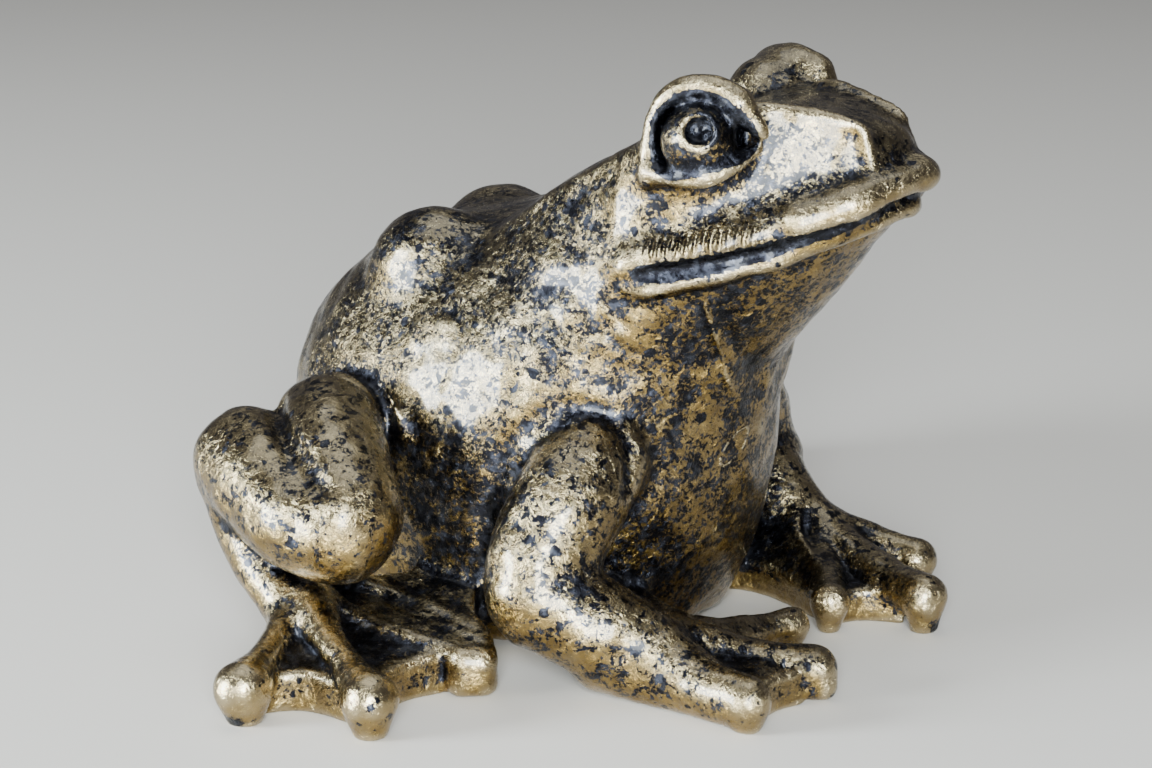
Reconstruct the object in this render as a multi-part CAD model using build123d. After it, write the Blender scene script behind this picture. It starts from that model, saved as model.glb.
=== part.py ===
from build123d import *
import os
from math import sqrt

# Seated frog ornament: one hollow casting, an oval plate that closes its underside, and four felt pads.
# Millimetres. X points forwards, from rump to snout. Y points to the frog's left. Z points up from the
# surface that the frog sits on. The origin lies on that surface, under the middle of the whole frog.

os.makedirs("parts", exist_ok=True)

# ---- driving dimensions ----

WALL = 5.0                 # thickness of the cast shell
SOLE = 0.0                 # the toes are ground flat at this height
BELLY = 2.0                # the belly rim stands this far above the soles
LEDGE_THICKNESS = 3.0      # ring of casting that the closing plate is glued against

PLATE_CENTRE_X = -17.0     # middle of the belly opening
PLATE_LENGTH = 67.4
PLATE_WIDTH = 59.4
PLATE_THICKNESS = 3.0
PLATE_CLEARANCE = 0.3      # glue gap round the edge of the plate
LEDGE_WIDTH = 5.0          # how far the ledge reaches in under the plate

PAD_DIAMETER = 12.0
PAD_SPACING_X = 42.0
PAD_SPACING_Y = 30.0

# Sections across the frog: (x, lowest z, highest z, half width). Each one is an ellipse.
TORSO = (
    (-80.0, 40.0, 48.0, 4.0),
    (-78.0, 31.0, 57.0, 13.0),
    (-75.5, 23.0, 65.0, 19.5),
    (-69.5, 11.0, 73.0, 28.0),
    (-56.0, -10.0, 84.5, 38.0),
    (-36.0, -25.0, 92.0, 45.0),
    (-15.0, -28.0, 97.0, 47.5),
    (3.0, -24.0, 106.0, 45.5),
    (15.0, -12.0, 106.5, 40.5),
    (25.5, 2.0, 101.5, 31.5),
    (33.0, 18.0, 92.5, 21.0),
    (37.5, 36.0, 78.0, 10.0),
    (39.5, 49.0, 65.0, 4.0),
)

HEAD = (
    (-12.0, 76.0, 98.0, 16.0),
    (-6.0, 66.0, 102.0, 26.0),
    (10.0, 62.0, 111.5, 34.0),
    (26.0, 64.0, 119.5, 36.5),
    (42.0, 68.0, 123.5, 30.5),
    (56.0, 82.0, 123.5, 22.5),
    (66.0, 93.5, 121.5, 16.0),
    (72.0, 100.0, 118.5, 11.5),
    (76.5, 104.5, 114.5, 7.5),
    (78.8, 107.0, 112.5, 4.0),
)

# Balls: (x, y on the frog's left, z, radius), as they are on the right. The left eye sits further back.
BROW = (34.5, 25.0, 119.5, 12.3)
EYEBALL = (37.0, 30.0, 119.2, 8.6)
PUPIL = (40.2, 37.4, 122.2, 4.0)
LEFT_EYE_SHIFT = (-7.0, 0.8, -2.0)
HIP_HUMP = (-38.5, 17.0, 79.5, 14.0)

# Limbs: chains of balls (x, y on the frog's left, z, radius) joined by tapered bars.
# The two hands differ a little, as sculpted by hand.
LEFT_ARM = (
    (12, 38, 46, 12), (12, 49, 27, 11.8), (23, 42, 18, 9.2), (37, 38.5, 13, 7.8), (50, 42, 9.5, 6),
    (61.2, 43, 8.5, 5),
)
LEFT_HAND = (
    ((38, 36, 10, 7), (56, 27, 8.5, 6.2), (72.5, 17.5, 7.5, 6.3)),
    ((38, 34, 9, 6), (48, 15, 7, 4.5), (54.4, 4, 6.8, 4.7)),
)
LEFT_HAND_WEB = ((34, 42), (59, 42.5), (54.5, 35), (69, 19.5), (58, 15), (53, 5.5), (34, 34))

RIGHT_ARM = (
    (13, 42, 46, 12.5), (13, 56, 23, 12.5), (35, 50, 12, 9.5), (50, 53, 8.5, 7), (62.8, 56.1, 7, 6.2),
)
RIGHT_HAND = (
    ((36, 44, 10, 8), (52, 37, 8.5, 7), (66, 31.5, 7, 7.3)),
    ((33, 38, 9, 6), (42, 20, 7, 4.5), (49.6, 7.5, 6, 4.8)),
)
RIGHT_HAND_WEB = ((32, 50), (60, 55.5), (55, 46), (62, 34), (46.5, 29), (48, 10), (32, 36))
HAND_WEB_HEIGHT = 7.5

# Skin that closes the corner between the belly and each forearm.
ARMPIT_WEB = ((11, 21), (20, 44), (37, 33))
ARMPIT_WEB_HEIGHT = 14.0

THIGH = ((-45, 50, 49.5, 12.6), (-25, 73, 38, 12.2))
SHANK = ((-57, 64, 43, 12.6), (-30, 75, 35.5, 11.8))
LEFT_KNEE_SHIFT = (-4.0, 0, 0)
TARSUS = ((-58, 67, 36, 7.5), (-41, 76, 16, 7))
HIND_TOES = (
    ((-41, 77, 14, 6), (-33, 95, 10, 4.4), (-29, 106, 7.2, 6.5)),
    ((-38, 76, 15, 6), (-14, 91.5, 11, 4.4), (-1.4, 101.4, 7.2, 6.3)),
    ((-38, 71, 15, 6), (-10, 68.5, 11.5, 3.8), (4.6, 67.2, 7.2, 6)),
)
FOOT_WEB = (
    (-50, 66), (-31, 103), (-21.5, 95), (-4, 99.5), (-6.5, 82.5), (3, 68.5), (0, 60), (-11, 50),
    (-10, 42), (-40, 40),
)
FOOT_WEB_HEIGHT = 7.5

# The mouth line, seen from the side: a groove from the corner of the jaw to the snout.
MOUTH_CORNER = (22.0, 89.0)
MOUTH_FRONT = (82.0, 108.0)
MOUTH_WIDTH = 1.6
MOUTH_DEPTH = 2.5

SECTION_STEPS = 3          # sections drawn between two rows of a table
JOINT_STEP = 0.97          # each bar starts a little smaller than the ball that it grows from
REACH = 400.0              # larger than the frog in every direction


# ---- building blocks ----

def section(x, low, high, half_width):
    """Ellipse that stands across the frog at x."""
    plane = Plane(origin=(x, 0, (low + high) / 2), x_dir=(0, 1, 0), z_dir=(1, 0, 0))
    return plane * Ellipse(half_width, (high - low) / 2)


def between(rows, place, t):
    """Row on the smooth curve through the table, the fraction t beyond a place in it (Catmull-Rom)."""
    before, start, end, after = (rows[min(max(place + step, 0), len(rows) - 1)] for step in (-1, 0, 1, 2))
    row = []
    for a, b, c, d in zip(before, start, end, after):
        row.append(b + t / 2 * (c - a + t * (2 * a - 5 * b + 4 * c - d + t * (3 * (b - c) + d - a))))
    return row


def smoothed(rows):
    """The table with more rows between its own."""
    dense = [between(rows, place, step / SECTION_STEPS)
             for place in range(len(rows) - 1) for step in range(SECTION_STEPS)]
    return dense + [rows[-1]]


def skinned(rows, inset=0.0):
    """Solid through the sections of a table, smaller all round by the inset."""
    middle = (rows[0][0] + rows[-1][0]) / 2
    shorter = 1 - 2 * inset / (rows[-1][0] - rows[0][0])
    sections = []
    for x, low, high, half_width in smoothed(rows):
        margin = min(inset, half_width - 1, (high - low) / 2 - 1)
        x = middle + (x - middle) * shorter
        sections.append(section(x, low + margin, high - margin, half_width - margin))
    return loft(sections, ruled=True)


def above(height):
    """Everything higher than a level."""
    return Pos(0, 0, height) * Box(REACH, REACH, REACH, align=(Align.CENTER, Align.CENTER, Align.MIN))


def ball(x, y, z, radius):
    return Pos(x, y, z) * Sphere(radius)


def tapered_bar(start, end):
    """Bar with a ball at each end and a cone tangent to both."""
    start_point, end_point = Vector(*start[:3]), Vector(*end[:3])
    start_radius, end_radius = start[3], end[3]
    axis = end_point - start_point
    length = axis.length
    slope = (start_radius - end_radius) / length
    across = sqrt(1 - slope * slope)

    start_touch = (start_radius * across, 0, start_radius * slope)
    end_touch = (end_radius * across, 0, length + end_radius * slope)
    start_mid = Vector(start_touch[0], 0, start_touch[2] - start_radius).normalized() * start_radius
    end_mid = Vector(end_touch[0], 0, end_touch[2] - length + end_radius).normalized() * end_radius

    outline = [
        ThreePointArc((0, 0, -start_radius), start_mid, start_touch),
        Line(start_touch, end_touch),
        ThreePointArc(end_touch, end_mid + Vector(0, 0, length), (0, 0, length + end_radius)),
        Line((0, 0, length + end_radius), (0, 0, -start_radius)),
    ]
    bar = revolve(make_face(outline), Axis.Z)
    return Plane(origin=start_point, z_dir=axis) * bar


def limb(chain):
    """Tapered bars from ball to ball."""
    bars = []
    for start, end in zip(chain, chain[1:]):
        x, y, z, radius = start
        narrowed = radius if not bars else radius * JOINT_STEP
        bars.append(tapered_bar((x, y, z, narrowed), end))
    return bars


def web(outline, height):
    """Skin between toes, standing on the soles."""
    return extrude(make_face(Polyline(*outline, close=True)), height)


def shifted(chain, shift):
    """The chain moved by a shift."""
    return [(x + shift[0], y + shift[1], z + shift[2], radius) for x, y, z, radius in chain]


def right_side(shapes):
    """The same shapes on the frog's right."""
    return [mirror(shape, Plane.XZ) for shape in shapes]


# ---- frog_casting ----

def hind_leg(knee_shift=(0, 0, 0)):
    """Folded left hind leg with its webbed foot."""
    shapes = limb(shifted(THIGH, knee_shift)) + limb(shifted(SHANK, knee_shift)) + limb(TARSUS)
    for toe in HIND_TOES:
        shapes += limb(toe)
    shapes.append(web(FOOT_WEB, FOOT_WEB_HEIGHT))
    return shapes


def arm(chain, hand, hand_web):
    """Arm, its outer toe, and the other two toes, with the webs beside them."""
    shapes = limb(chain)
    for toe in hand:
        shapes += limb(toe)
    shapes.append(web(hand_web, HAND_WEB_HEIGHT))
    shapes.append(web(ARMPIT_WEB, ARMPIT_WEB_HEIGHT))
    return shapes


def mouth_groove():
    """Thin sloping slot round the outside of the head."""
    run = MOUTH_FRONT[0] - MOUTH_CORNER[0]
    rise = MOUTH_FRONT[1] - MOUTH_CORNER[1]
    side = Plane(origin=(MOUTH_CORNER[0], 0, MOUTH_CORNER[1]), x_dir=(run, 0, rise), z_dir=(0, -1, 0))
    length = sqrt(run * run + rise * rise)
    slot = side * Box(length, MOUTH_WIDTH, REACH, align=(Align.MIN, Align.CENTER, Align.CENTER))
    skin = skinned(HEAD) - skinned(HEAD, MOUTH_DEPTH)
    return slot & skin


def core():
    """The hollow that the mould core leaves."""
    torso_core = skinned(TORSO, WALL) & above(BELLY + PLATE_THICKNESS + LEDGE_THICKNESS)
    return torso_core + skinned(HEAD, WALL)


def belly_opening():
    """Stepped oval hole: a rebate for the plate, and a smaller hole inside it."""
    length = PLATE_LENGTH / 2 + PLATE_CLEARANCE
    width = PLATE_WIDTH / 2 + PLATE_CLEARANCE
    rebate = extrude(Ellipse(length, width), BELLY + PLATE_THICKNESS)
    ledge_top = BELLY + PLATE_THICKNESS + 2 * LEDGE_THICKNESS
    hole = extrude(Ellipse(length - LEDGE_WIDTH, width - LEDGE_WIDTH), ledge_top)
    return Pos(PLATE_CENTRE_X, 0, 0) * (rebate + hole)


def eye(shift=(0, 0, 0)):
    """Brow, eyeball and drilled pupil, on the frog's left."""
    brow, eyeball, pupil = shifted((BROW, EYEBALL, PUPIL), shift)
    return ball(*brow) + ball(*eyeball) - ball(*pupil)


def frog_casting():
    hollow = core()
    solid = skinned(TORSO) & above(BELLY)
    solid = solid + skinned(HEAD) - mouth_groove()
    solid = solid - hollow - belly_opening()

    hump = ball(*HIP_HUMP)
    left = [eye(LEFT_EYE_SHIFT), hump] + hind_leg(LEFT_KNEE_SHIFT) + arm(LEFT_ARM, LEFT_HAND, LEFT_HAND_WEB)
    right = [eye(), hump] + hind_leg() + arm(RIGHT_ARM, RIGHT_HAND, RIGHT_HAND_WEB)
    for shape in left + right_side(right):
        solid = solid + (shape - hollow)
    return solid & above(SOLE)


# ---- closing plate and felt pads ----

def base_plate():
    plate = extrude(Ellipse(PLATE_LENGTH / 2, PLATE_WIDTH / 2), PLATE_THICKNESS)
    return Pos(PLATE_CENTRE_X, 0, BELLY) * plate


def felt_pad(end, side):
    """Felt disc under one quarter of the plate: end is 1 at the front, side is 1 on the left."""
    disc = Cylinder(PAD_DIAMETER / 2, BELLY - SOLE, align=(Align.CENTER, Align.CENTER, Align.MIN))
    return Pos(PLATE_CENTRE_X + end * PAD_SPACING_X / 2, side * PAD_SPACING_Y / 2, SOLE) * disc


pieces = {
    "frog_casting": frog_casting(),
    "base_plate": base_plate(),
    "felt_pad_front_left": felt_pad(1, 1),
    "felt_pad_front_right": felt_pad(1, -1),
    "felt_pad_rear_left": felt_pad(-1, 1),
    "felt_pad_rear_right": felt_pad(-1, -1),
}

for name, piece in pieces.items():
    export_step(piece, f"parts/{name}.step")
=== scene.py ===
from math import cos, pi, radians, sin

import bpy
import numpy as np
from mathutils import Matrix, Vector


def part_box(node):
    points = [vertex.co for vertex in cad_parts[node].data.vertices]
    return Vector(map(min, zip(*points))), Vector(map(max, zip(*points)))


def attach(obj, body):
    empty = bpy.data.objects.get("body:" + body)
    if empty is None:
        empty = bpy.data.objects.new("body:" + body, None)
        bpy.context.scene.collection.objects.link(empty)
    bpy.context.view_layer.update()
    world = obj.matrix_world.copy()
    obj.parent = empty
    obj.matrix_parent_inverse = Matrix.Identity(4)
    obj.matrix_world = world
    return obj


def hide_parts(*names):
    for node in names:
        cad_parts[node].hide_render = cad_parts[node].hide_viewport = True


# Seated frog ornament, cast and finished in antique gold. The frog is sculpted as digital clay: a signed
# distance field on a grid, in millimetres and in the frame's own axes, then skinned with quads. X points
# forwards, Y to the frog's left and Z up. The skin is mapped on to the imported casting's box at the end.

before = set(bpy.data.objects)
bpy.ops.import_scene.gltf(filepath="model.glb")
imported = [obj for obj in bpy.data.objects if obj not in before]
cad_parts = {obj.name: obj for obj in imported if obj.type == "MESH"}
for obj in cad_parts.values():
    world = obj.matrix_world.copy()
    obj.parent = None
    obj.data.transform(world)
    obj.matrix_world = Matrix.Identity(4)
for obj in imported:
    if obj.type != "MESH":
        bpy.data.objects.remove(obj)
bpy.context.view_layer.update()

MM = 0.001
VOXEL = 0.9
FAR = 30.0                       # distance that stands for empty space
CASTING = "frog_casting"

# Box that the clay frog is designed in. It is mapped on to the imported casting's box.
CLAY_LOW = np.array((-80.0, -112.5, 0.0))
CLAY_HIGH = np.array((78.8, 112.5, 131.8))
GRID_MARGIN = 5.0


# ---- the clay ----

def smooth_min(a, b, k):
    """Smaller of two distances, blended over k millimetres."""
    if k <= 0:
        return np.minimum(a, b)
    h = np.maximum(k - np.abs(a - b), 0) / k
    return np.minimum(a, b) - h * h * k / 4


def smooth_max(a, b, k):
    return -smooth_min(-a, -b, k)


class Clay:
    """Signed distances on a grid. Negative is inside."""

    def __init__(self, low, high, voxel):
        self.low, self.voxel = np.array(low, np.float32), voxel
        self.shape = np.ceil((np.array(high) - low) / voxel).astype(int) + 1
        self.field = np.full(self.shape, FAR, np.float32)

    def axes(self, first, last):
        """Coordinates along X, Y and Z, shaped to spread over the grid."""
        grids = []
        for k in range(3):
            ticks = self.low[k] + self.voxel * np.arange(first[k], last[k], dtype=np.float32)
            grids.append(ticks.reshape([-1 if k == i else 1 for i in range(3)]))
        return grids

    def window(self, low, high):
        """Slices of the grid inside a box, and the coordinates there."""
        first = np.clip(np.floor((low - self.low) / self.voxel), 0, self.shape).astype(int)
        last = np.clip(np.ceil((high - self.low) / self.voxel) + 1, 0, self.shape).astype(int)
        return tuple(slice(a, b) for a, b in zip(first, last)), self.axes(first, last)

    def add(self, shape, blend=2.0):
        """Joins a shape on, with a fillet about as wide as blend."""
        low, high, distance = shape
        reach = blend + 3 * self.voxel
        slices, (x, y, z) = self.window(low - reach, high + reach)
        self.field[slices] = smooth_min(self.field[slices], distance(x, y, z), blend)

    def cut(self, shape, blend=1.0):
        """Takes a shape away, with its edge rounded over blend."""
        low, high, distance = shape
        reach = blend + 3 * self.voxel
        slices, (x, y, z) = self.window(low - reach, high + reach)
        self.field[slices] = smooth_max(self.field[slices], -distance(x, y, z), blend)

    def press(self, shape, depth, width):
        """Pushes the surface in by depth along a line or round a point. A negative depth raises it."""
        low, high, distance = shape
        reach = 2.5 * width
        slices, (x, y, z) = self.window(low - reach, high + reach)
        away = np.maximum(distance(x, y, z), 0)
        self.field[slices] += depth * np.exp(-(away / width) ** 2)


# ---- shapes: each is a lowest corner, a highest corner and a distance function ----

def bar_distance(x, y, z, start, end):
    """Distance to one tapered bar between two balls (x, y, z, radius)."""
    ax, ay, az, ar = start
    bx, by, bz, br = end
    ux, uy, uz = bx - ax, by - ay, bz - az
    length2 = max(ux * ux + uy * uy + uz * uz, 1e-6)
    px, py, pz = x - ax, y - ay, z - az
    t = np.clip((px * ux + py * uy + pz * uz) / length2, 0, 1)
    away = np.sqrt((px - t * ux) ** 2 + (py - t * uy) ** 2 + (pz - t * uz) ** 2)
    return away - (ar + t * (br - ar))


def curve_through(points, steps):
    """Catmull-Rom curve through the points, which may carry a radius as a fourth value."""
    points = np.array(points, float)
    padded = np.vstack([2 * points[0] - points[1], points, 2 * points[-1] - points[-2]])
    t = np.arange(steps)[:, None] / steps
    rows = []
    for a, b, c, d in zip(padded, padded[1:], padded[2:], padded[3:]):
        rows.append(b + t / 2 * (c - a + t * (2 * a - 5 * b + 4 * c - d + t * (3 * (b - c) + d - a))))
    return np.vstack([*rows, points[-1:]])


def rod(points, steps=3):
    """Smooth chain of balls (x, y, z, radius)."""
    balls = curve_through(points, steps) if steps > 1 else np.array(points, float)
    low = (balls[:, :3] - balls[:, 3:]).min(0)
    high = (balls[:, :3] + balls[:, 3:]).max(0)

    def distance(x, y, z):
        nearest = None
        for start, end in zip(balls, balls[1:]):
            d = bar_distance(x, y, z, start, end)
            nearest = d if nearest is None else np.minimum(nearest, d)
        return nearest
    return low, high, distance


def line(points, radius=0.0, steps=4):
    """The same with one radius along its length."""
    return rod([(*p[:3], radius) for p in points], steps)


def ball(x, y, z, radius):
    centre = np.array((x, y, z))

    def distance(u, v, w):
        return np.sqrt((u - x) ** 2 + (v - y) ** 2 + (w - z) ** 2) - radius
    return centre - radius, centre + radius, distance


def under(level):
    """Everything below a level."""
    low, high = CLAY_LOW - 2 * GRID_MARGIN, CLAY_HIGH + 2 * GRID_MARGIN
    return low, np.array((*high[:2], level)), lambda x, y, z: z - level


def ellipsoid(centre, radii, pitch=0.0):
    """Ellipsoid tipped nose up by pitch degrees about Y."""
    c, s = cos(radians(pitch)), sin(radians(pitch))
    reach = max(radii)
    cx, cy, cz = centre
    rx, ry, rz = radii

    def distance(x, y, z):
        px, py, pz = x - cx, y - cy, z - cz
        u, w = px * c + pz * s, -px * s + pz * c
        k0 = np.sqrt((u / rx) ** 2 + (py / ry) ** 2 + (w / rz) ** 2)
        k1 = np.sqrt((u / rx ** 2) ** 2 + (py / ry ** 2) ** 2 + (w / rz ** 2) ** 2)
        return k0 * (k0 - 1) / np.maximum(k1, 1e-6)
    return np.array(centre) - reach, np.array(centre) + reach, distance


def block(centre, half, rounding, turn):
    """Rounded box turned by turn degrees about Z."""
    c, s = cos(radians(turn)), sin(radians(turn))
    reach = max(half) * 1.5

    def distance(x, y, z):
        px, py, pz = x - centre[0], y - centre[1], z - centre[2]
        inner = [np.abs(p) - h + rounding for p, h in zip((px * c + py * s, -px * s + py * c, pz), half)]
        outside = np.sqrt(sum(np.maximum(q, 0) ** 2 for q in inner))
        return outside + np.minimum(np.maximum(np.maximum(inner[0], inner[1]), inner[2]), 0) - rounding
    return np.array(centre) - reach, np.array(centre) + reach, distance


def web(heel, tip_a, tip_b, sag=1.6, notch=0.3, lip=0.8):
    """Skin between two toes, solid down to the floor. It sags between them and has a raised outer edge."""
    heel, tip_a, tip_b = (np.array(point, float) for point in (heel, tip_a, tip_b))
    a, b = (tip_a - heel)[:2], (tip_b - heel)[:2]
    area = a[0] * b[1] - a[1] * b[0]
    length_a, length_b = np.linalg.norm(a), np.linalg.norm(b)
    corners = np.array([heel, tip_a, tip_b])
    low, high = corners.min(0), corners.max(0)
    low[2] = 0

    def distance(x, y, z):
        px, py = x - heel[0], y - heel[1]
        along_a = (px * b[1] - py * b[0]) / area
        along_b = (a[0] * py - a[1] * px) / area
        reach = along_a + along_b
        share = np.clip(along_b / np.where(np.abs(reach) < 0.05, 0.05, reach), 0, 1)
        middle = 4 * share * (1 - share)
        edge = 1 - notch * middle
        tip = tip_a[2] + share * (tip_b[2] - tip_a[2])
        top = heel[2] + reach * (tip - heel[2]) - sag * middle * np.clip(reach, 0, 1)
        top = top + lip * middle * np.exp(-((edge - reach) / 0.10) ** 2)
        outside_a = -along_a * abs(area) / length_b
        outside_b = -along_b * abs(area) / length_a
        outer = (reach - edge) * (length_a + share * (length_b - length_a)) * 0.85
        d = smooth_max(outer, (z - top) * 0.9, 1.0)
        return smooth_max(d, np.maximum(outside_a, outside_b), 1.0)
    return low - 1, high + 1, distance


def mirrored(points):
    """The same points on the frog's other side."""
    return [(p[0], -p[1], *p[2:]) for p in points]


# ---- body: sections across the frog (x, lowest z, highest z, half width) ----

TORSO = (
    (-80.2, 43.0, 45.0, 1.0),
    (-79.9, 39.4, 48.8, 4.6),
    (-79.2, 34.8, 53.4, 9.0),
    (-77.8, 29.4, 58.6, 13.6),
    (-75.5, 23.0, 64.0, 19.0),
    (-69.5, 11.0, 72.5, 27.5),
    (-56.0, -10.0, 84.0, 37.5),
    (-36.0, -25.0, 91.5, 44.5),
    (-15.0, -28.0, 96.5, 47.0),
    (3.0, -24.0, 105.5, 45.0),
    (15.0, -12.0, 106.0, 40.0),
    (25.5, 2.0, 101.0, 31.0),
    (33.0, 18.0, 92.0, 20.5),
    (37.2, 34.0, 79.5, 11.4),
    (38.7, 44.0, 70.5, 6.4),
    (39.4, 55.0, 59.0, 1.0),
)
BELLY = 2.0
SECTION_POWER = 2.15


def torso():
    """Skin through the sections, as a distance field scaled by its own slope."""
    rows = curve_through(TORSO, 12)
    stations = rows[:, 0]
    low = np.array((-84.0, -50.0, BELLY))
    high = np.array((45.0, 50.0, 113.0))

    def distance(x, y, z):
        at = x.ravel()
        bottom, top, half = (np.interp(at, stations, rows[:, k]).reshape(x.shape) for k in (1, 2, 3))
        middle, height = (bottom + top) / 2, (top - bottom) / 2
        across = (np.abs(y) / half) ** SECTION_POWER + (np.abs(z - middle) / height) ** SECTION_POWER
        level = across ** (1 / SECTION_POWER) - 1
        outside = np.maximum(stations[0] - at, at - stations[-1]).reshape(x.shape)
        level = level * np.minimum(half, height)
        slope = np.sqrt(sum(g * g for g in np.gradient(level, clay.voxel)))
        level = level / np.maximum(slope, 0.25)
        return np.maximum(np.clip(level, -FAR, FAR), outside)
    return low, high, distance


# ---- head: the line over the crown as (x, z), and the line down the front of the face as (z, x) ----

HEAD_TOP = (
    (-20, 88), (-6, 100.5), (2, 106), (10, 111), (22, 117.5), (34, 122.3), (47, 124.2), (57, 123.2),
    (66, 121.2), (74, 118.6),
)
HEAD_FRONT = (
    (60, 38.5), (68.2, 44), (77.8, 52.5), (90.8, 62.2), (99, 68.2), (104, 71), (110, 73.0), (114, 72.6),
    (120.4, 69.2), (124, 65.5), (130, 56),
)
NOSE_ROUND, JAW_ROUND = 15.0, 21.0     # radii seen from above
MOUTH_HEIGHT = 106
HEAD_BACK, HEAD_BOTTOM = -18.0, 60.0
NECK_HALF_WIDTH = 35.5


def head():
    """Flat cheeks that meet in front, and a neck that narrows backwards and leans in above the jaw."""
    low = np.array((-24.0, -38.0, HEAD_BOTTOM))
    high = np.array((78.0, 38.0, 126.0))
    top_x, top_z = np.array(HEAD_TOP, float).T
    front_z, front_x = np.array(HEAD_FRONT, float).T

    def distance(x, y, z):
        side = np.abs(y)
        cheek = (side - (79.3 - 0.485 * x - 0.304 * z)) / 1.152
        lean = 0.34 * np.maximum(z - 90.0, 0) * np.clip((30.0 - x) / 14.0, 0, 1)
        flank = side - (NECK_HALF_WIDTH - 0.42 * np.maximum(18.0 - x, 0) - lean)
        crown = (z - np.interp(x.ravel(), top_x, top_z).reshape(x.shape)) * 0.95
        ahead = np.interp(z.ravel(), front_z, front_x).reshape(z.shape)
        roundness = np.where(z > MOUTH_HEIGHT, NOSE_ROUND, JAW_ROUND)
        front = (x - ahead + side * side / (2 * roundness)) * 0.72
        front = front / np.sqrt(1 + (side / roundness) ** 2 * 0.5)
        d = smooth_max(cheek, flank, 10.0)
        d = smooth_max(d, crown, 2.5)
        d = smooth_max(d, front, 3.0)
        d = smooth_max(d, HEAD_BACK - x, 8.0)
        return smooth_max(d, HEAD_BOTTOM - z, 8.0)
    return low, high, distance


# ---- the face, on the frog's right (y is negative) ----

CANTHUS = (
    (43, -17.5, 124.6), (48, -16.3, 124.9), (55, -13.6, 123.8), (62, -11.4, 122.5), (66, -10.6, 121.2),
    (67.0, -10.4, 118.0), (68.4, -10.6, 114.0), (69.0, -11.6, 110.5),
)
UPPER_LIP = (
    (75.0, 0, 110.6, 3.2), (74.0, -5.0, 109.8, 3.2), (71.4, -10.6, 108.2, 3.1),
    (66.5, -15.8, 105.6, 2.8), (57.5, -20.8, 101.9, 2.6), (47.0, -26.2, 98.2, 2.5),
    (36.0, -30.8, 95.0, 2.4), (28.0, -33.2, 92.9, 2.2), (23.5, -34.2, 91.6, 1.8),
)
MOUTH = (
    (75.6, 0, 106.8, 1.1), (74.6, -6.4, 105.8, 1.1), (72.4, -12.8, 104.2, 1.1),
    (67.0, -18.4, 101.6, 1.1), (60.0, -22.8, 98.9, 1.2), (53.0, -26.6, 96.4, 1.3),
    (45.5, -30.2, 94.2, 1.5), (38.4, -33.4, 92.2, 1.6), (31.3, -35.8, 90.7, 1.8),
    (26.6, -37.0, 89.8, 1.5),
)
LOWER_LIP = (
    (72.4, 0, 103.3, 2.1), (71.4, -4.6, 102.4, 2.1), (68.6, -10.6, 100.8, 2.0),
    (62.6, -16.6, 98.0, 1.9), (52.0, -23.8, 93.6, 1.8), (45.0, -27.8, 91.3, 1.8),
    (38.0, -31.0, 89.3, 1.8), (32.0, -33.2, 87.6, 1.7), (27.0, -34.6, 86.2, 1.5),
    (22.8, -35.0, 86.6, 1.2),
)
RIBBED_LIP = ((29, -34.6, 95.4), (36, -33.0, 96.8), (42, -31.2, 97.9), (49, -28.0, 99.4))

# The eye: its ball, and rows (forwards, up, out, radius) in the eye's own axes, out being where it looks.
EYE = np.array((37.0, -30.0, 119.2))
EYE_RADIUS = 8.0
EYE_LOOK = np.array((0.34, -0.90, 0.27)) / np.linalg.norm((0.34, -0.90, 0.27))
EYE_SHIFT_LEFT = np.array((-7.0, 0.8, -2.0))     # the left eye sits a little further back
EYE_DOME = ((34.5, -24.4, 119.2, 11.4), (28.5, -21.5, 109.0, 9.8), (12, -18, 94, 10.0))
SOCKET = ((-4.2, -2.0, 2.5, 6.3), (0.0, 1.1, 1.8, 8.8), (6.5, 0.4, 2.5, 5.4), (11.4, -0.8, 2.0, 1.4))
BROW_RIM = (
    (-11.0, -9.0, -3.4, 1.0), (-11.3, -2.5, -2.4, 1.1), (-10.0, 4.6, -0.8, 1.5), (-6.4, 9.2, 0.9, 2.2),
    (-1.0, 11.0, 1.6, 2.7), (4.6, 10.4, 2.0, 2.9), (8.4, 7.8, 2.0, 2.9), (10.8, 4.8, 1.6, 2.6),
    (12.8, 2.5, 1.3, 2.0), (14.0, 1.5, 1.2, 1.1),
)
LOWER_LID = (
    (-10.4, -7.0, -2.4, 1.3), (-5.4, -8.3, 0.9, 1.6), (-0.5, -8.7, 2.9, 1.8), (3.6, -8.0, 3.0, 1.8),
    (7.2, -6.0, 2.2, 1.7), (10.4, -3.2, 0.4, 1.4), (12.6, -1.4, -0.8, 1.0),
)
IRIS = (0.8, 1.3)                          # where the pupil is drilled
IRIS_RADIUS, IRIS_EDGE = 3.7, 0.7
PUPIL_RADIUS = 3.0
BEAD = (2.2, 0.4, 5.6, 1.0)


def right_side(points):
    return [tuple(point) for point in points]


def on_both_sides(make):
    make(right_side)
    make(mirrored)


class EyePlace:
    """Turns places in the eye's own axes into clay places."""

    def __init__(self, side):
        turn = np.array((1, -1, 1) if side is mirrored else (1, 1, 1))
        self.centre = EYE * turn + (EYE_SHIFT_LEFT if side is mirrored else 0)
        self.out = EYE_LOOK * turn
        ahead = np.cross((0, 0, 1.0), self.out)
        self.ahead = ahead / np.linalg.norm(ahead) * (-1 if side is mirrored else 1)
        self.up = np.cross(self.out, self.ahead) * (-1 if side is mirrored else 1)

    def put(self, rows):
        placed = []
        for ahead, up, out, *rest in rows:
            place = self.centre + ahead * self.ahead + up * self.up + out * self.out
            placed.append((*place, *rest))
        return placed


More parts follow.
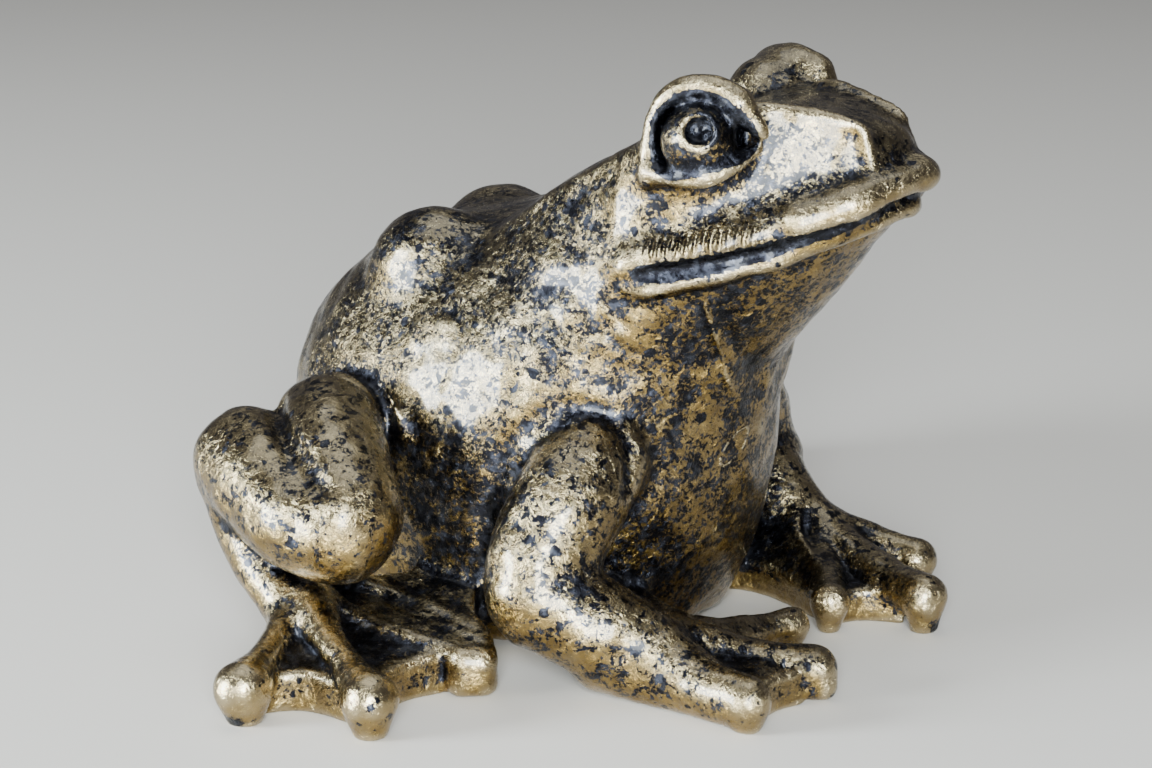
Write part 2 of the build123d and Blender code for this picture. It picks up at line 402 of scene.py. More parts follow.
def sculpt_eye(side):
    place = EyePlace(side)
    shift = EYE_SHIFT_LEFT if side is mirrored else np.zeros(3)
    clay.add(rod([(*(np.array(p[:3]) + shift), p[3]) for p in side(EYE_DOME)], 4), 4.0)
    clay.cut(rod(place.put(SOCKET[:3] if side is mirrored else SOCKET), 3), 0.8)
    clay.add(ball(*place.centre, EYE_RADIUS), 0.3)
    clay.add(rod(place.put(BROW_RIM[:7])), 5.0 if side is mirrored else 2.4)
    clay.add(rod(place.put(BROW_RIM[6:])), 2.8)
    clay.add(rod(place.put(LOWER_LID)), 3.6)
    turn = np.linspace(0, 2 * pi, 21)
    u, v = IRIS
    iris = place.put([(u + IRIS_RADIUS * cos(a), v + IRIS_RADIUS * sin(a), EYE_RADIUS - 1.1) for a in turn])
    clay.add(line(iris, IRIS_EDGE, 1), 0.6)
    clay.cut(rod(place.put([(u, v, 9.4, PUPIL_RADIUS), (u, v, 7.6, PUPIL_RADIUS)]), 1), 0.4)
    clay.add(ball(*place.put([BEAD])[0]), 0.2)


def sculpt_face(side):
    clay.add(line(side(CANTHUS), 0.7), 3.6)
    clay.add(rod(side(UPPER_LIP[:5])), 3.4)
    clay.add(rod(side(UPPER_LIP[3:])), 6.5)
    clay.add(rod(side(LOWER_LIP)), 2.0)
    clay.cut(rod(side(MOUTH)), 0.7)


# ---- folds of skin (rows are places on the surface) ----

SHOULDER_FOLD = (
    (-6.8, -46.6, 22), (-5.8, -47, 33), (-3.6, -47, 42), (-0.4, -46.4, 50), (3.4, -45.4, 55.4),
    (8, -43.6, 58.8), (13.5, -41.6, 60.0), (18.5, -39.2, 59.2), (23.0, -38.4, 55.8),
    (26.0, -39.4, 50.6), (27.5, -43.0, 44.0),
)
KNEE_FOLD = (
    (-52.7, -59.3, 55.6), (-48.4, -65.0, 54.4), (-44.3, -69.0, 53.2), (-37.3, -74.2, 51.0),
    (-30.4, -78.7, 48.2), (-26.5, -80.6, 46.5),
)
THIGH_RIDGE = (
    (-55, -41.0, 62.0), (-44.6, -45.8, 65.0), (-36.6, -45.8, 62.4), (-31.0, -45.6, 56.0),
    (-28.0, -45.0, 49.0),
)
THIGH_FOLD = (
    (-56, -44.5, 58.0), (-46, -47.5, 60.5), (-39, -47.5, 58.0), (-34, -47, 52), (-31.0, -47, 45),
    (-30, -47.6, 37),
)
NECK_FOLDS = (
    ((8.0, -37.8, 90.0), (9.6, -38.0, 85.7), (12.4, -38.2, 82.8), (15.0, -38.2, 79.4)),
    ((11.4, -38.9, 77.5), (13.8, -38.8, 75.4), (16.5, -38.0, 76.0), (19.4, -37.2, 78.1)),
    ((17.6, -36.9, 84.4), (20.4, -36.6, 81.0), (22.4, -35.9, 78.4)),
    ((18.6, -37.2, 79.1), (20.4, -36.9, 74.8), (23.8, -34.9, 72.0), (27.5, -32.5, 71.0)),
    ((3.0, -37.6, 86.0), (5.0, -38.2, 80.6), (8.4, -38.8, 76.4)),
)


def sculpt_folds(side):
    clay.press(line(side(SHOULDER_FOLD)), 2.1, 1.8)
    clay.press(line(side(KNEE_FOLD)), 2.4, 2.0)
    clay.add(line(side(THIGH_RIDGE), 0.3), 3.6)
    clay.press(line(side(THIGH_FOLD)), 1.5, 1.7)
    for fold in NECK_FOLDS:
        clay.press(line(side(fold)), 0.9, 1.0)


# ---- limbs: chains of balls (x, y, z, radius), on the frog's right unless named left ----

UPPER_ARM = ((16, -36, 47, 11.5), (15, -45, 41, 12.5), (13, -52.5, 31, 12.3), (13, -56, 23, 12.0))
FOREARM_RIGHT = (
    (14, -56, 21, 11.5), (24, -54, 16.5, 10.8), (35, -50.6, 11.8, 9.0), (50, -52.8, 8.0, 5.8),
    (63.4, -55.6, 7.6, 4.6),
)
FOREARM_KEEL = (
    (28, -52.0, 9.0, 8.6), (40, -51.6, 6.2, 6.2), (51, -53.2, 4.8, 4.8), (61, -55.2, 4.0, 4.0),
)
FINGER_B_RIGHT = ((34, -46, 11, 8), (48, -38.5, 8.8, 5.6), (58, -34.5, 7.4, 4.6), (66, -31, 6.8, 4.8))
FINGER_C_RIGHT = ((31, -40, 9.5, 6), (40, -26, 7.6, 3.8), (45, -14, 6.0, 3.2), (49.8, -5.8, 5.4, 3.8))
FINGER_BLOCK = (67.2, -31.2, 4.9)         # the middle right finger ends in a squarish block
FINGER_BLOCK_HALF = (5.0, 4.4, 5.2)

UPPER_ARM_LEFT = ((12, 34, 48, 11.5), (12, 42, 41, 11.5), (11, 48, 32, 11.5), (13, 49, 25, 11.5))
FOREARM_LEFT = (
    (13, 46, 27, 11.3), (23, 41.5, 19.0, 9.2), (34, 39, 12.8, 7.4), (47, 41, 9.8, 5.6),
    (59.6, 41.6, 8.6, 4.8),
)
FINGER_B_LEFT = (
    (38, 38, 11, 7), (48, 31, 9.4, 5.6), (58, 25.5, 8.8, 5.0), (64, 22, 8.6, 4.8),
    (71.8, 18.0, 8.6, 5.2),
)
FINGER_C_LEFT = ((37, 35, 10, 6), (45, 23, 8.4, 4.0), (49.6, 14, 7.8, 3.6), (53.2, 7.0, 7.4, 4.2))

THIGH = ((-49, -42, 46, 12), (-44, -52, 49.5, 12.4), (-35, -63, 45, 12.6), (-25.5, -72, 38, 12.2))
SHANK = ((-26.5, -74, 35, 12.0), (-38, -74, 36.5, 11.8), (-50, -68, 41, 12.6), (-57, -64, 43, 12.6))
TARSUS = ((-60, -66, 40, 8.0), (-55, -69, 30, 7.2), (-45, -73, 19.5, 6.6), (-36, -75, 14, 6.6))
HIND_TOE_1 = (
    (-37, -75, 14.5, 5.6), (-35.0, -86, 12.0, 3.6), (-33.2, -95.5, 9.8, 3.7), (-31.2, -103.8, 8.2, 6.1),
)
HIND_TOE_2 = (
    (-34, -75, 16, 6.0), (-23, -84, 13.8, 3.6), (-13, -90.6, 10.8, 3.6), (-4.0, -97.0, 8.4, 5.8),
)
HIND_TOE_3 = (
    (-34, -70, 16, 4.0), (-24, -70.5, 13.8, 1.5), (-12, -69.0, 11.4, 1.3), (-3.0, -67.4, 9.6, 1.3),
)
HIND_TOE_4 = (
    (-36, -60, 16.6, 4.0), (-22, -56.5, 14.6, 1.5), (-9, -57.4, 12.4, 1.4), (2.0, -60.2, 10.4, 1.6),
)
TOE_BLOCK = (1.6, -65.4, 5.2)             # the third hind toe ends in a squarish block
TOE_BLOCK_HALF = (5.8, 5.0, 5.9)
BLOCK_TURN = 30.0
HEEL = (-37, -74, 16.5)
FAR_LEG_SHIFT = (-11.0, -1.0, -0.5)              # the left knee lies a little further back

# Skin between the fingers: heel, two tips, sag, notch and, for some, the height of the raised edge.
# The right hand gets a first layer, and a longer one over it.
FIRST_HAND_WEBS = (
    ((32, -50, 14), (60, -53.5, 7.6), (62, -34, 8.0), 1.6, 0.2),
    ((30, -44, 12), (62, -33, 8.0), (48, -10, 6.4), 1.2, 0.34),
)
HAND_WEBS = (
    ((32, -50, 14), (64, -52.0, 6.8), (68, -36, 8.2), 0.6, 0.05),
    ((30, -44, 12), (64, -31, 7.6), (49, -9, 5.6), 1.2, 0.32),
    ((34, 42, 14), (59, 41.6, 8.4), (68, 20.5, 8.4), 1.2, 0.22),
    ((34, 37, 13.5), (69, 19, 8.4), (52.6, 8.0, 7.2), 1.8, 0.12),
)
ARMPIT_WEB = ((8, -20, 20), (18, -46, 24), (37, -33, 13), 3.0, 0.06, 0.0)
LEFT_SKIRT = ((25, 42, 24), (51, 9.5, 6), (12, 19, 5), 2.6, 0.22, 0.3)     # left forearm to the belly
ROUND_FINGERS = (FOREARM_RIGHT, FINGER_C_RIGHT, FOREARM_LEFT, FINGER_B_LEFT, FINGER_C_LEFT)


def sole(toe):
    """What a toe stands on: its end tapers straight down to the floor."""
    x, y, z, radius = toe[-1]
    return rod([(x, y, z - 1.5, radius - 0.5), (x, y, 0.0, radius * 0.62)], 1)


def foot_webs(side, pulled_in=0.0):
    """Webs of the hind foot and the skin behind it. pulled_in is how far the tips move towards the heel."""
    tips = side([(-32, -101.5, 7.6), (-6, -95.5, 7.8), (-2.5, -68.5, 9.6), (4.0, -62.0, 10.4)])
    heel, behind, belly = side([HEEL, (-36, -57, 17.0), (-12, -36, 20)])
    tips = [tuple(np.array(tip) + pulled_in * (np.array(heel) - tip)) for tip in tips]
    return [web(heel, tips[0], tips[1], 1.8, 0.22), web(heel, tips[1], tips[2], 2.2, 0.12),
            web(heel, tips[2], tips[3], -0.6, 0.0, 0.0), web(tips[3], heel, behind, -0.8, 0.0, 0.0),
            web(behind, tips[3], belly, 0.0, 0.1, 0.0)]


def sculpt_hind_leg(side):
    clay.add(rod(side(TARSUS)), 3.0)
    for toe in (HIND_TOE_1, HIND_TOE_2, HIND_TOE_3, HIND_TOE_4):
        clay.add(rod(side(toe)), 2.0)
    for toe in (HIND_TOE_1, HIND_TOE_2):
        clay.add(sole(side(toe)), 2.5)
    turn = -BLOCK_TURN if side is mirrored else BLOCK_TURN
    clay.add(block(side([TOE_BLOCK])[0], TOE_BLOCK_HALF, 3.8, turn), 2.4)
    for shape, blend in zip(foot_webs(side), (1.4, 1.4, 1.2, 1.2, 3.0)):
        clay.add(shape, blend)
    shift = FAR_LEG_SHIFT if side is mirrored else (0, 0, 0)
    clay.add(rod(shifted(side(THIGH), shift)), 2.6)
    clay.add(rod(shifted(side(SHANK), shift)), 1.2)


def shifted(points, shift):
    return [(p[0] + shift[0], p[1] + shift[1], p[2] + shift[2], *p[3:]) for p in points]


def sculpt_arms():
    clay.add(rod(UPPER_ARM), 2.2)
    clay.add(rod(FOREARM_RIGHT), 2.4)
    clay.add(rod(FOREARM_KEEL), 3.4)
    clay.add(rod(FINGER_C_RIGHT), 2.0)
    clay.add(rod(FINGER_B_RIGHT), 1.4)
    clay.add(block(FINGER_BLOCK, FINGER_BLOCK_HALF, 3.6, BLOCK_TURN), 2.4)
    for rows in FIRST_HAND_WEBS:
        clay.add(web(*rows), 1.6)
    clay.add(rod(UPPER_ARM_LEFT), 2.4)
    clay.add(rod(FOREARM_LEFT), 2.6)
    clay.add(rod(FINGER_C_LEFT), 2.0)
    clay.add(rod(FINGER_B_LEFT), 1.6)
    for finger in ROUND_FINGERS:
        clay.add(sole(finger), 2.5)
    for rows in HAND_WEBS:
        clay.add(web(*rows), 1.6)
    clay.add(web(*ARMPIT_WEB), 4.0)
    clay.add(web(*LEFT_SKIRT), 3.0)


# ---- the whole frog ----

HIP_HUMPS = ((-37.5, -17, 80.8), (-40, 17, 79.5))
HIP_HUMP_RADII, HIP_HUMP_PITCH = (15.5, 13, 13.5), 20.0
PLATE_CLEARANCE = 0.8
HAMMER_SEED = 11
HAMMER = ((4.5, 0.30), (1.8, 0.16))        # size and depth of the dents, coarse then fine


def hammer():
    """Shallow uneven dents all over."""
    random = np.random.default_rng(HAMMER_SEED)
    for size, depth in HAMMER:
        cells = max(1, round(size / 2 / clay.voxel))
        dents = blurred(random.standard_normal(clay.shape, dtype=np.float32), cells)
        clay.field += dents * (depth / dents.std())


def sculpt():
    clay.add(torso(), 0.0)
    clay.cut(under(BELLY), 2.0)
    clay.add(head(), 9.0)
    for hump in HIP_HUMPS:
        clay.add(ellipsoid(hump, HIP_HUMP_RADII, HIP_HUMP_PITCH), 5.0)
    on_both_sides(sculpt_hind_leg)
    sculpt_arms()
    on_both_sides(sculpt_face)
    on_both_sides(sculpt_eye)
    on_both_sides(sculpt_folds)
    hammer()
    clay.cut(under(0.0), 1.0)
    clay.cut(plate_seat(), 0.0)


def plate_seat():
    """Rebate under the belly that the base plate lies in."""
    low, high = (in_clay(corner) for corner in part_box("base_plate"))
    middle = (low + high) / 2
    half = (high - low) / 2 + PLATE_CLEARANCE
    top = high[2] + PLATE_CLEARANCE

    def distance(x, y, z):
        ring = np.sqrt(((x - middle[0]) / half[0]) ** 2 + ((y - middle[1]) / half[1]) ** 2)
        return np.maximum((ring - 1) * min(half[:2]), z - top)
    return np.array((*(low - 2)[:2], -GRID_MARGIN)), np.array((*(high + 2)[:2], top + 1)), distance


def in_clay(point):
    """Frame metres to clay millimetres."""
    low, high = (np.array(corner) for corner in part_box(CASTING))
    return CLAY_LOW + (np.array(point) - low) / (high - low) * (CLAY_HIGH - CLAY_LOW)


# ---- skinning the clay ----

def sample(field, points):
    """Trilinear value of a grid field at points, in millimetres."""
    at = (points - clay.low) / clay.voxel
    base = np.clip(np.floor(at).astype(int), 0, np.array(field.shape) - 2)
    f = (at - base).astype(np.float32)
    total = 0
    for i in (0, 1):
        for j in (0, 1):
            for k in (0, 1):
                weight = ((f[:, 0] if i else 1 - f[:, 0]) * (f[:, 1] if j else 1 - f[:, 1])
                          * (f[:, 2] if k else 1 - f[:, 2]))
                total = total + weight * field[base[:, 0] + i, base[:, 1] + j, base[:, 2] + k]
    return total


def gradient_at(field, points):
    """Slope of a grid field at points, by central differences."""
    step = 0.5 * clay.voxel
    columns = []
    for k in range(3):
        shift = np.zeros(3)
        shift[k] = step
        columns.append((sample(field, points + shift) - sample(field, points - shift)) / (2 * step))
    return np.stack(columns, 1)


def surface_net(field):
    """One vertex in each cell that the surface crosses, one quad on each grid edge that it crosses."""
    inside = field < 0
    corners = [(i, j, k) for i in (0, 1) for j in (0, 1) for k in (0, 1)]
    nx, ny, nz = (n - 1 for n in field.shape)
    count = sum(inside[i:i + nx, j:j + ny, k:k + nz].astype(np.int8) for i, j, k in corners)
    cells = np.argwhere((count > 0) & (count < 8))
    number = np.full((nx, ny, nz), -1, np.int64)
    number[tuple(cells.T)] = np.arange(len(cells))

    total, hits = np.zeros((len(cells), 3)), np.zeros(len(cells))
    for a in corners:
        for k in range(3):
            if a[k]:
                continue
            b = tuple(a[i] + (i == k) for i in range(3))
            fa = field[tuple((cells + a).T)]
            fb = field[tuple((cells + b).T)]
            crossing = (fa < 0) != (fb < 0)
            t = np.where(crossing, fa / np.where(fa == fb, 1, fa - fb), 0)
            place = np.array(a, float) + t[:, None] * (np.arange(3) == k)
            total += np.where(crossing[:, None], place, 0)
            hits += crossing
    points = clay.low + clay.voxel * (cells + total / hits[:, None])

    quads = []
    for k in range(3):
        u, v = (k + 1) % 3, (k + 2) % 3
        first = inside[tuple(slice(0, -1) if i == k else slice(1, -1) for i in range(3))]
        second = inside[tuple(slice(1, None) if i == k else slice(1, -1) for i in range(3))]
        edges = np.argwhere(first != second) + np.array([int(i != k) for i in range(3)])
        flipped = inside[tuple(edges.T)]
        ring = []
        for du, dv in ((1, 1), (0, 1), (0, 0), (1, 0)):
            cell = edges.copy()
            cell[:, u] -= du
            cell[:, v] -= dv
            ring.append(number[tuple(cell.T)])
        quad = np.stack(ring, 1)
        quads.append(np.where(flipped[:, None], quad, quad[:, ::-1]))
    return points, np.vstack(quads)


def relaxed(points, quads, rounds=4):
    """Evens out the net, keeping it on the surface."""
    a, b = quads.ravel(), np.roll(quads, -1, 1).ravel()
    for _ in range(rounds):
        total, hits = np.zeros_like(points), np.zeros(len(points))
        for p, q in ((a, b), (b, a)):
            for k in range(3):
                total[:, k] += np.bincount(p, points[q, k], len(points))
            hits += np.bincount(p, minlength=len(points))
        points = points + 0.6 * (total / hits[:, None] - points)
        slope = gradient_at(clay.field, points)
        size2 = np.maximum((slope ** 2).sum(1), 0.09)
        move = -slope * (sample(clay.field, points) / size2)[:, None]
        points = points + np.clip(move, -clay.voxel, clay.voxel)
    return points


def blurred(values, cells):
    """Box blur of a grid, three times over."""
    for _ in range(3):
        for k in range(3):
            total = np.cumsum(values, k, dtype=np.float64)
            ahead = np.roll(total, -cells, k)
            behind = np.roll(total, cells + 1, k)
            values = ((ahead - behind) / (2 * cells + 1)).astype(np.float32)
    return values


# ---- how the finish varies over the skin ----

LEG_CHAINS = (THIGH, SHANK, TARSUS, HIND_TOE_1, HIND_TOE_2)
ARM_CHAINS = (UPPER_ARM, FOREARM_RIGHT, FINGER_B_RIGHT, UPPER_ARM_LEFT, FOREARM_LEFT, FINGER_B_LEFT)
ROUND_TOES = (HIND_TOE_1, HIND_TOE_2, mirrored(HIND_TOE_1), mirrored(HIND_TOE_2), *ROUND_FINGERS)
HIGH_SPOTS = ((-38.0, -22.0, 86.0, 6.0), (6.0, -38.0, 84.0, 8.0))     # hip hump and neck, less rubbed
FLANK = (-11.0, -44.0, 34.0, 12.0)             # a ball round the darker skin between thigh and arm
ANKLE_HOLLOW = ((-50, -64, 25), (-40, -70, 19), (-36, -60, 18))
FINGERS = (FOREARM_RIGHT, FINGER_B_RIGHT, FINGER_C_RIGHT, FOREARM_LEFT, FINGER_B_LEFT, FINGER_C_LEFT)

# Where patina was left between the fingers, as webs a little smaller than the real ones.
DARK_WEBS = (
    ((32, -50, 14), (60, -52, 8), (63, -37, 8)),
    ((30, -44, 12), (59, -33, 8), (46, -13, 6.4)),
    ((34, 42, 14), (57, 41, 9), (65, 22, 8)),
    ((34, 37, 13), (66, 19, 8), (52, 8, 7)),
    ((25, 42, 24), (48, 13, 6), (14, 22, 5), 2.6, 0.22, 0.0),
)


def limb_shares(points):
    """From 0 to 1, how much each point belongs to the legs, and to the arms."""
    legs = [rod(side(chain)) for chain in LEG_CHAINS for side in (right_side, mirrored)]
    return near(legs, points, 2.0), near([rod(chain) for chain in ARM_CHAINS], points, 2.0)


def texture_share(points):
    """How densely the surface is pitted: most on the chest and high spots, less on limbs and toe balls."""
    x, _, z = points.T
    legs, arms = limb_shares(points)
    toes = near([ball(*toe[-1]) for toe in ROUND_TOES], points, 3.0)
    chest = np.clip((x - 8) / 14, 0, 1) * np.clip((96 - z) / 12, 0, 1) * (1 - np.maximum(legs, arms))
    high_spots = near([ball(*centre) for centre in (*HIGH_SPOTS, *mirrored(HIGH_SPOTS))], points, 14.0)
    return 1 + 0.32 * chest + 0.36 * high_spots - 0.36 * legs - 0.08 * arms - 0.20 * toes


def near(shapes, points, reach):
    """From 1 at or inside any of the shapes to 0 at reach from them."""
    distance = np.min([shape[2](*points.T) for shape in shapes], 0)
    return np.clip(1 - distance / reach, 0, 1)


def patina_and_painted_shade_share(points):
    """Where the patina was left thick: eyes, webs, ankles and flanks. In the mouth, pupils and eye sockets
    the darkening is patina and painted shade together, filling their recesses.
    """
    # Painted shade: the mouth slit is darkened as if shaded inside, along with its patina.
    share = near([rod(MOUTH), rod(mirrored(MOUTH))], points, 0.7)
    for side in (right_side, mirrored):
        place = EyePlace(side)
        # Painted shade: the drilled pupil and the gap round the eyeball are darkened as if shaded inside,
        # along with their patina.
        pupil = near([ball(*place.put([(*IRIS, EYE_RADIUS - 1.2)])[0], PUPIL_RADIUS - 0.6)], points, 0.8)
        eye = ball(*place.centre, EYE_RADIUS)
        socket = near([rod(place.put(SOCKET), 3)], points, 1.0) * (1 - near([eye], points, 0.9))
        eyeball = near([eye], points, 0.6)
        iris = near([ball(*place.put([(*IRIS, EYE_RADIUS - 1.0)])[0], IRIS_RADIUS + 0.4)], points, 0.8)
        rear_rim = near([rod(place.put(BROW_RIM[:3]))], points, 1.2)
        share = np.maximum.reduce([share, pupil, socket, 0.17 * eyeball * (1 - iris), 0.14 * rear_rim])
        toes = near([rod(side(chain)) for chain in (HIND_TOE_1, HIND_TOE_2)], points, 1.6)
        webs = near(foot_webs(side, 0.14)[:2], points, 1.4) * (1 - toes)
        behind = near([foot_webs(side)[4]], points, 2.0)
        ankle = near([line(side(ANKLE_HOLLOW), 5.0)], points, 3.0)
        share = np.maximum.reduce([share, 0.20 * webs, 0.06 * behind, 0.26 * ankle])
    hands = near([web(*rows) for rows in DARK_WEBS], points, 1.4)
    fingers = near([rod(chain) for chain in FINGERS], points, 1.2)
    share = np.maximum(share, 0.13 * hands * (1 - fingers))
    flanks = near([ball(*centre) for centre in (FLANK, *mirrored([FLANK]))], points, 14.0)
    return np.maximum(share, 0.10 * flanks)


def in_frame(points):
    """Clay millimetres to frame metres."""
    low, high = (np.array(corner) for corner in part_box(CASTING))
    return low + (points - CLAY_LOW) / (CLAY_HIGH - CLAY_LOW) * (high - low)


clay = Clay(CLAY_LOW - GRID_MARGIN, CLAY_HIGH + GRID_MARGIN, VOXEL)
sculpt()
points, quads = surface_net(clay.field)
points = relaxed(points, quads)

mesh = bpy.data.meshes.new("frog_sculpt")
mesh.from_pydata(in_frame(points).tolist(), [], quads.tolist())
mesh.polygons.foreach_set("use_smooth", np.ones(len(quads), bool))
frog = bpy.data.objects.new("frog_sculpt", mesh)
bpy.context.collection.objects.link(frog)


def give(name, values):
    """Stores a number for each vertex, for the material to read."""
    mesh.attributes.new(name, "FLOAT", "POINT").data.foreach_set("value", values.astype(np.float32))


solid = (clay.field < 0).astype(np.float32)
give("crevice", sample(blurred(solid, max(1, round(1.2 / VOXEL))), points))
give("hollow", sample(blurred(solid, max(1, round(3.6 / VOXEL))), points))
give("texture", texture_share(points))
give("patina_and_painted_shade", patina_and_painted_shade_share(points))
give("limb", np.maximum(*limb_shares(points)))
give("ribs", near([line(RIBBED_LIP), line(mirrored(RIBBED_LIP))], points, 3.2))

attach(frog, "root")
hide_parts(CASTING)


# ---- materials ----

class Paint:
    """Short calls for building a node material."""

    def __init__(self, name):
        self.material = bpy.data.materials.new(name)
        self.material.use_nodes = True
        self.tree = self.material.node_tree
        self.shader = self.tree.nodes["Principled BSDF"]
        self.place = self.node("ShaderNodeTexCoord").outputs["Object"]

    def node(self, kind, **settings):
        made = self.tree.nodes.new(kind)
        for key, value in settings.items():
            setattr(made, key, value)
        return made

    def feed(self, socket, value):
        if isinstance(value, bpy.types.NodeSocket):
            self.tree.links.new(value, socket)
        else:
            socket.default_value = value

    def maths(self, operation, a, b=0.0, clamp=False):
        made = self.node("ShaderNodeMath", operation=operation, use_clamp=clamp)
        self.feed(made.inputs[0], a)
        self.feed(made.inputs[1], b)
        return made.outputs[0]

    def step(self, value, low, high, to_low=0.0, to_high=1.0):
        """Smooth step from to_low at low to to_high at high."""
        made = self.node("ShaderNodeMapRange", interpolation_type="SMOOTHSTEP")
        keys = ("Value", "From Min", "From Max", "To Min", "To Max")
        for key, number in zip(keys, (value, low, high, to_low, to_high)):
            self.feed(made.inputs[key], number)
        return made.outputs["Result"]

    def noise(self, size_mm, detail=2.0, roughness=0.5, distortion=0.0, place=None):
        made = self.node("ShaderNodeTexNoise")
        self.feed(made.inputs["Vector"], place or self.place)
        self.feed(made.inputs["Scale"], 1 / (size_mm * MM))
        self.feed(made.inputs["Detail"], detail)
        self.feed(made.inputs["Roughness"], roughness)
        self.feed(made.inputs["Distortion"], distortion)
        return made.outputs["Fac"]

    def wobbled(self, size_mm, reach_mm):
        """The place, pushed about by coloured noise, so that what is drawn there gets ragged edges."""
        made = self.node("ShaderNodeTexNoise")
        self.feed(made.inputs["Vector"], self.place)
        self.feed(made.inputs["Scale"], 1 / (size_mm * MM))
        self.feed(made.inputs["Detail"], 3.0)
        centred = self.node("ShaderNodeVectorMath", operation="SUBTRACT")
        self.feed(centred.inputs[0], made.outputs["Color"])
        self.feed(centred.inputs[1], (0.5, 0.5, 0.5))
        scaled = self.node("ShaderNodeVectorMath", operation="SCALE")
        self.feed(scaled.inputs[0], centred.outputs[0])
        self.feed(scaled.inputs["Scale"], reach_mm * MM)
        moved = self.node("ShaderNodeVectorMath", operation="ADD")
        self.feed(moved.inputs[0], self.place)
        self.feed(moved.inputs[1], scaled.outputs[0])
        return moved.outputs[0]

    def stretched(self, place, x, y, z):
        made = self.node("ShaderNodeMapping")
        self.feed(made.inputs["Vector"], place)
        self.feed(made.inputs["Scale"], (x, y, z))
        return made.outputs[0]

    def cells(self, size_mm, place):
        """Distance to the nearest cell centre, in cell sizes, and a random number for that cell."""
        made = self.node("ShaderNodeTexVoronoi", feature="F1")
        self.feed(made.inputs["Vector"], place)
        self.feed(made.inputs["Scale"], 1 / (size_mm * MM))
        split = self.node("ShaderNodeSeparateColor")
        self.feed(split.inputs[0], made.outputs["Color"])
        return made.outputs["Distance"], split.outputs[0]

    def blend(self, share, a, b):
        made = self.node("ShaderNodeMix", data_type="RGBA")
        self.feed(made.inputs["Factor"], share)
        self.feed(made.inputs[6], a)
        self.feed(made.inputs[7], b)
        return made.outputs[2]

    def attribute(self, name):
        return self.node("ShaderNodeAttribute", attribute_name=name).outputs["Fac"]

    def up(self):
        """How far the surface faces upwards, from -1 to 1."""
        split = self.node("ShaderNodeSeparateXYZ")
        self.feed(split.inputs[0], self.node("ShaderNodeTexCoord").outputs["Normal"])
        return split.outputs["Z"]

    def bump(self, height, depth_mm, under=None):
        made = self.node("ShaderNodeBump")
        self.feed(made.inputs["Height"], height)
        self.feed(made.inputs["Distance"], depth_mm * MM)
        if under is not None:
            self.feed(made.inputs["Normal"], under)
        return made.outputs["Normal"]


def pits(paint, size_mm, place, share, reach):
    """Ragged pits: 1 in a pit, 0 outside. A share of the cells has one, its radius up to reach cells."""
    distance, lot = paint.cells(size_mm, place)
    radius = paint.step(lot, 1.0 - share, 1.0, 0.0, reach)
    return paint.step(paint.maths("SUBTRACT", radius, distance), -0.05, 0.12)


def scratched_oval(paint, centre, out, along, half_length, half_width):
    """Thin raised oval scratch round a place in clay millimetres. out and along say how it lies."""
    out = Vector(out).normalized()
    along = (Vector(along) - out * Vector(along).dot(out)).normalized()
    offset = paint.node("ShaderNodeVectorMath", operation="SUBTRACT")
    paint.feed(offset.inputs[0], paint.wobbled(2.0, 0.5))
    paint.feed(offset.inputs[1], tuple(in_frame(np.array(centre))))
    shares = []
    for axis, half in ((along, half_length), (out.cross(along), half_width), (out, half_length)):
        product = paint.node("ShaderNodeVectorMath", operation="DOT_PRODUCT")
        paint.feed(product.inputs[0], offset.outputs[0])
        paint.feed(product.inputs[1], tuple(axis / (half * MM)))
        shares.append(product.outputs["Value"])
    squares = paint.maths("ADD", paint.maths("POWER", shares[0], 2.0), paint.maths("POWER", shares[1], 2.0))
    away = paint.maths("ABSOLUTE", paint.maths("SUBTRACT", paint.maths("SQRT", squares), 1.0))
    depth = paint.step(paint.maths("ABSOLUTE", shares[2]), 1.4, 1.0)
    band = paint.maths("MULTIPLY", paint.step(away, 0.16, 0.04), depth)
    return paint.maths("MULTIPLY", band, paint.step(paint.noise(1.6, 2.0), 0.40, 0.52))


# Two old scratches: centre, facing, along, half length, half width.
CHEST_SCRATCH = ((37.0, -10.5, 46.6), (0.93, -0.33, -0.10), (0.72, 0.40, 0.56), 5.2, 2.2)
SHANK_SCAR = ((-60.4, -76.4, 47.4), (-0.35, -0.82, 0.45), (0.55, 0.31, 0.77), 4.5, 2.0)
RUBBED_GOLD = (0.39, 0.315, 0.18, 1)
LIMB_GOLD = (0.37, 0.29, 0.15, 1)
DOWNWARD_PAINTED_REFLECTION_GOLD = ((0.165, 0.103, 0.024, 1), (0.262, 0.172, 0.048, 1))      # two tones of painted reflection, warm as if from the floor, on what faces down
UPWARD_PAINTED_REFLECTION_GOLD = ((0.15, 0.120, 0.066, 1), (0.27, 0.222, 0.132, 1))        # two tones of painted reflection, pale as if from window and sky, on what faces up
PATINA = ((0.007, 0.0072, 0.0095, 1), (0.031, 0.033, 0.042, 1))
PATINA_STARTS = 1.75
RIB_WAVES_PER_METRE = 190.0


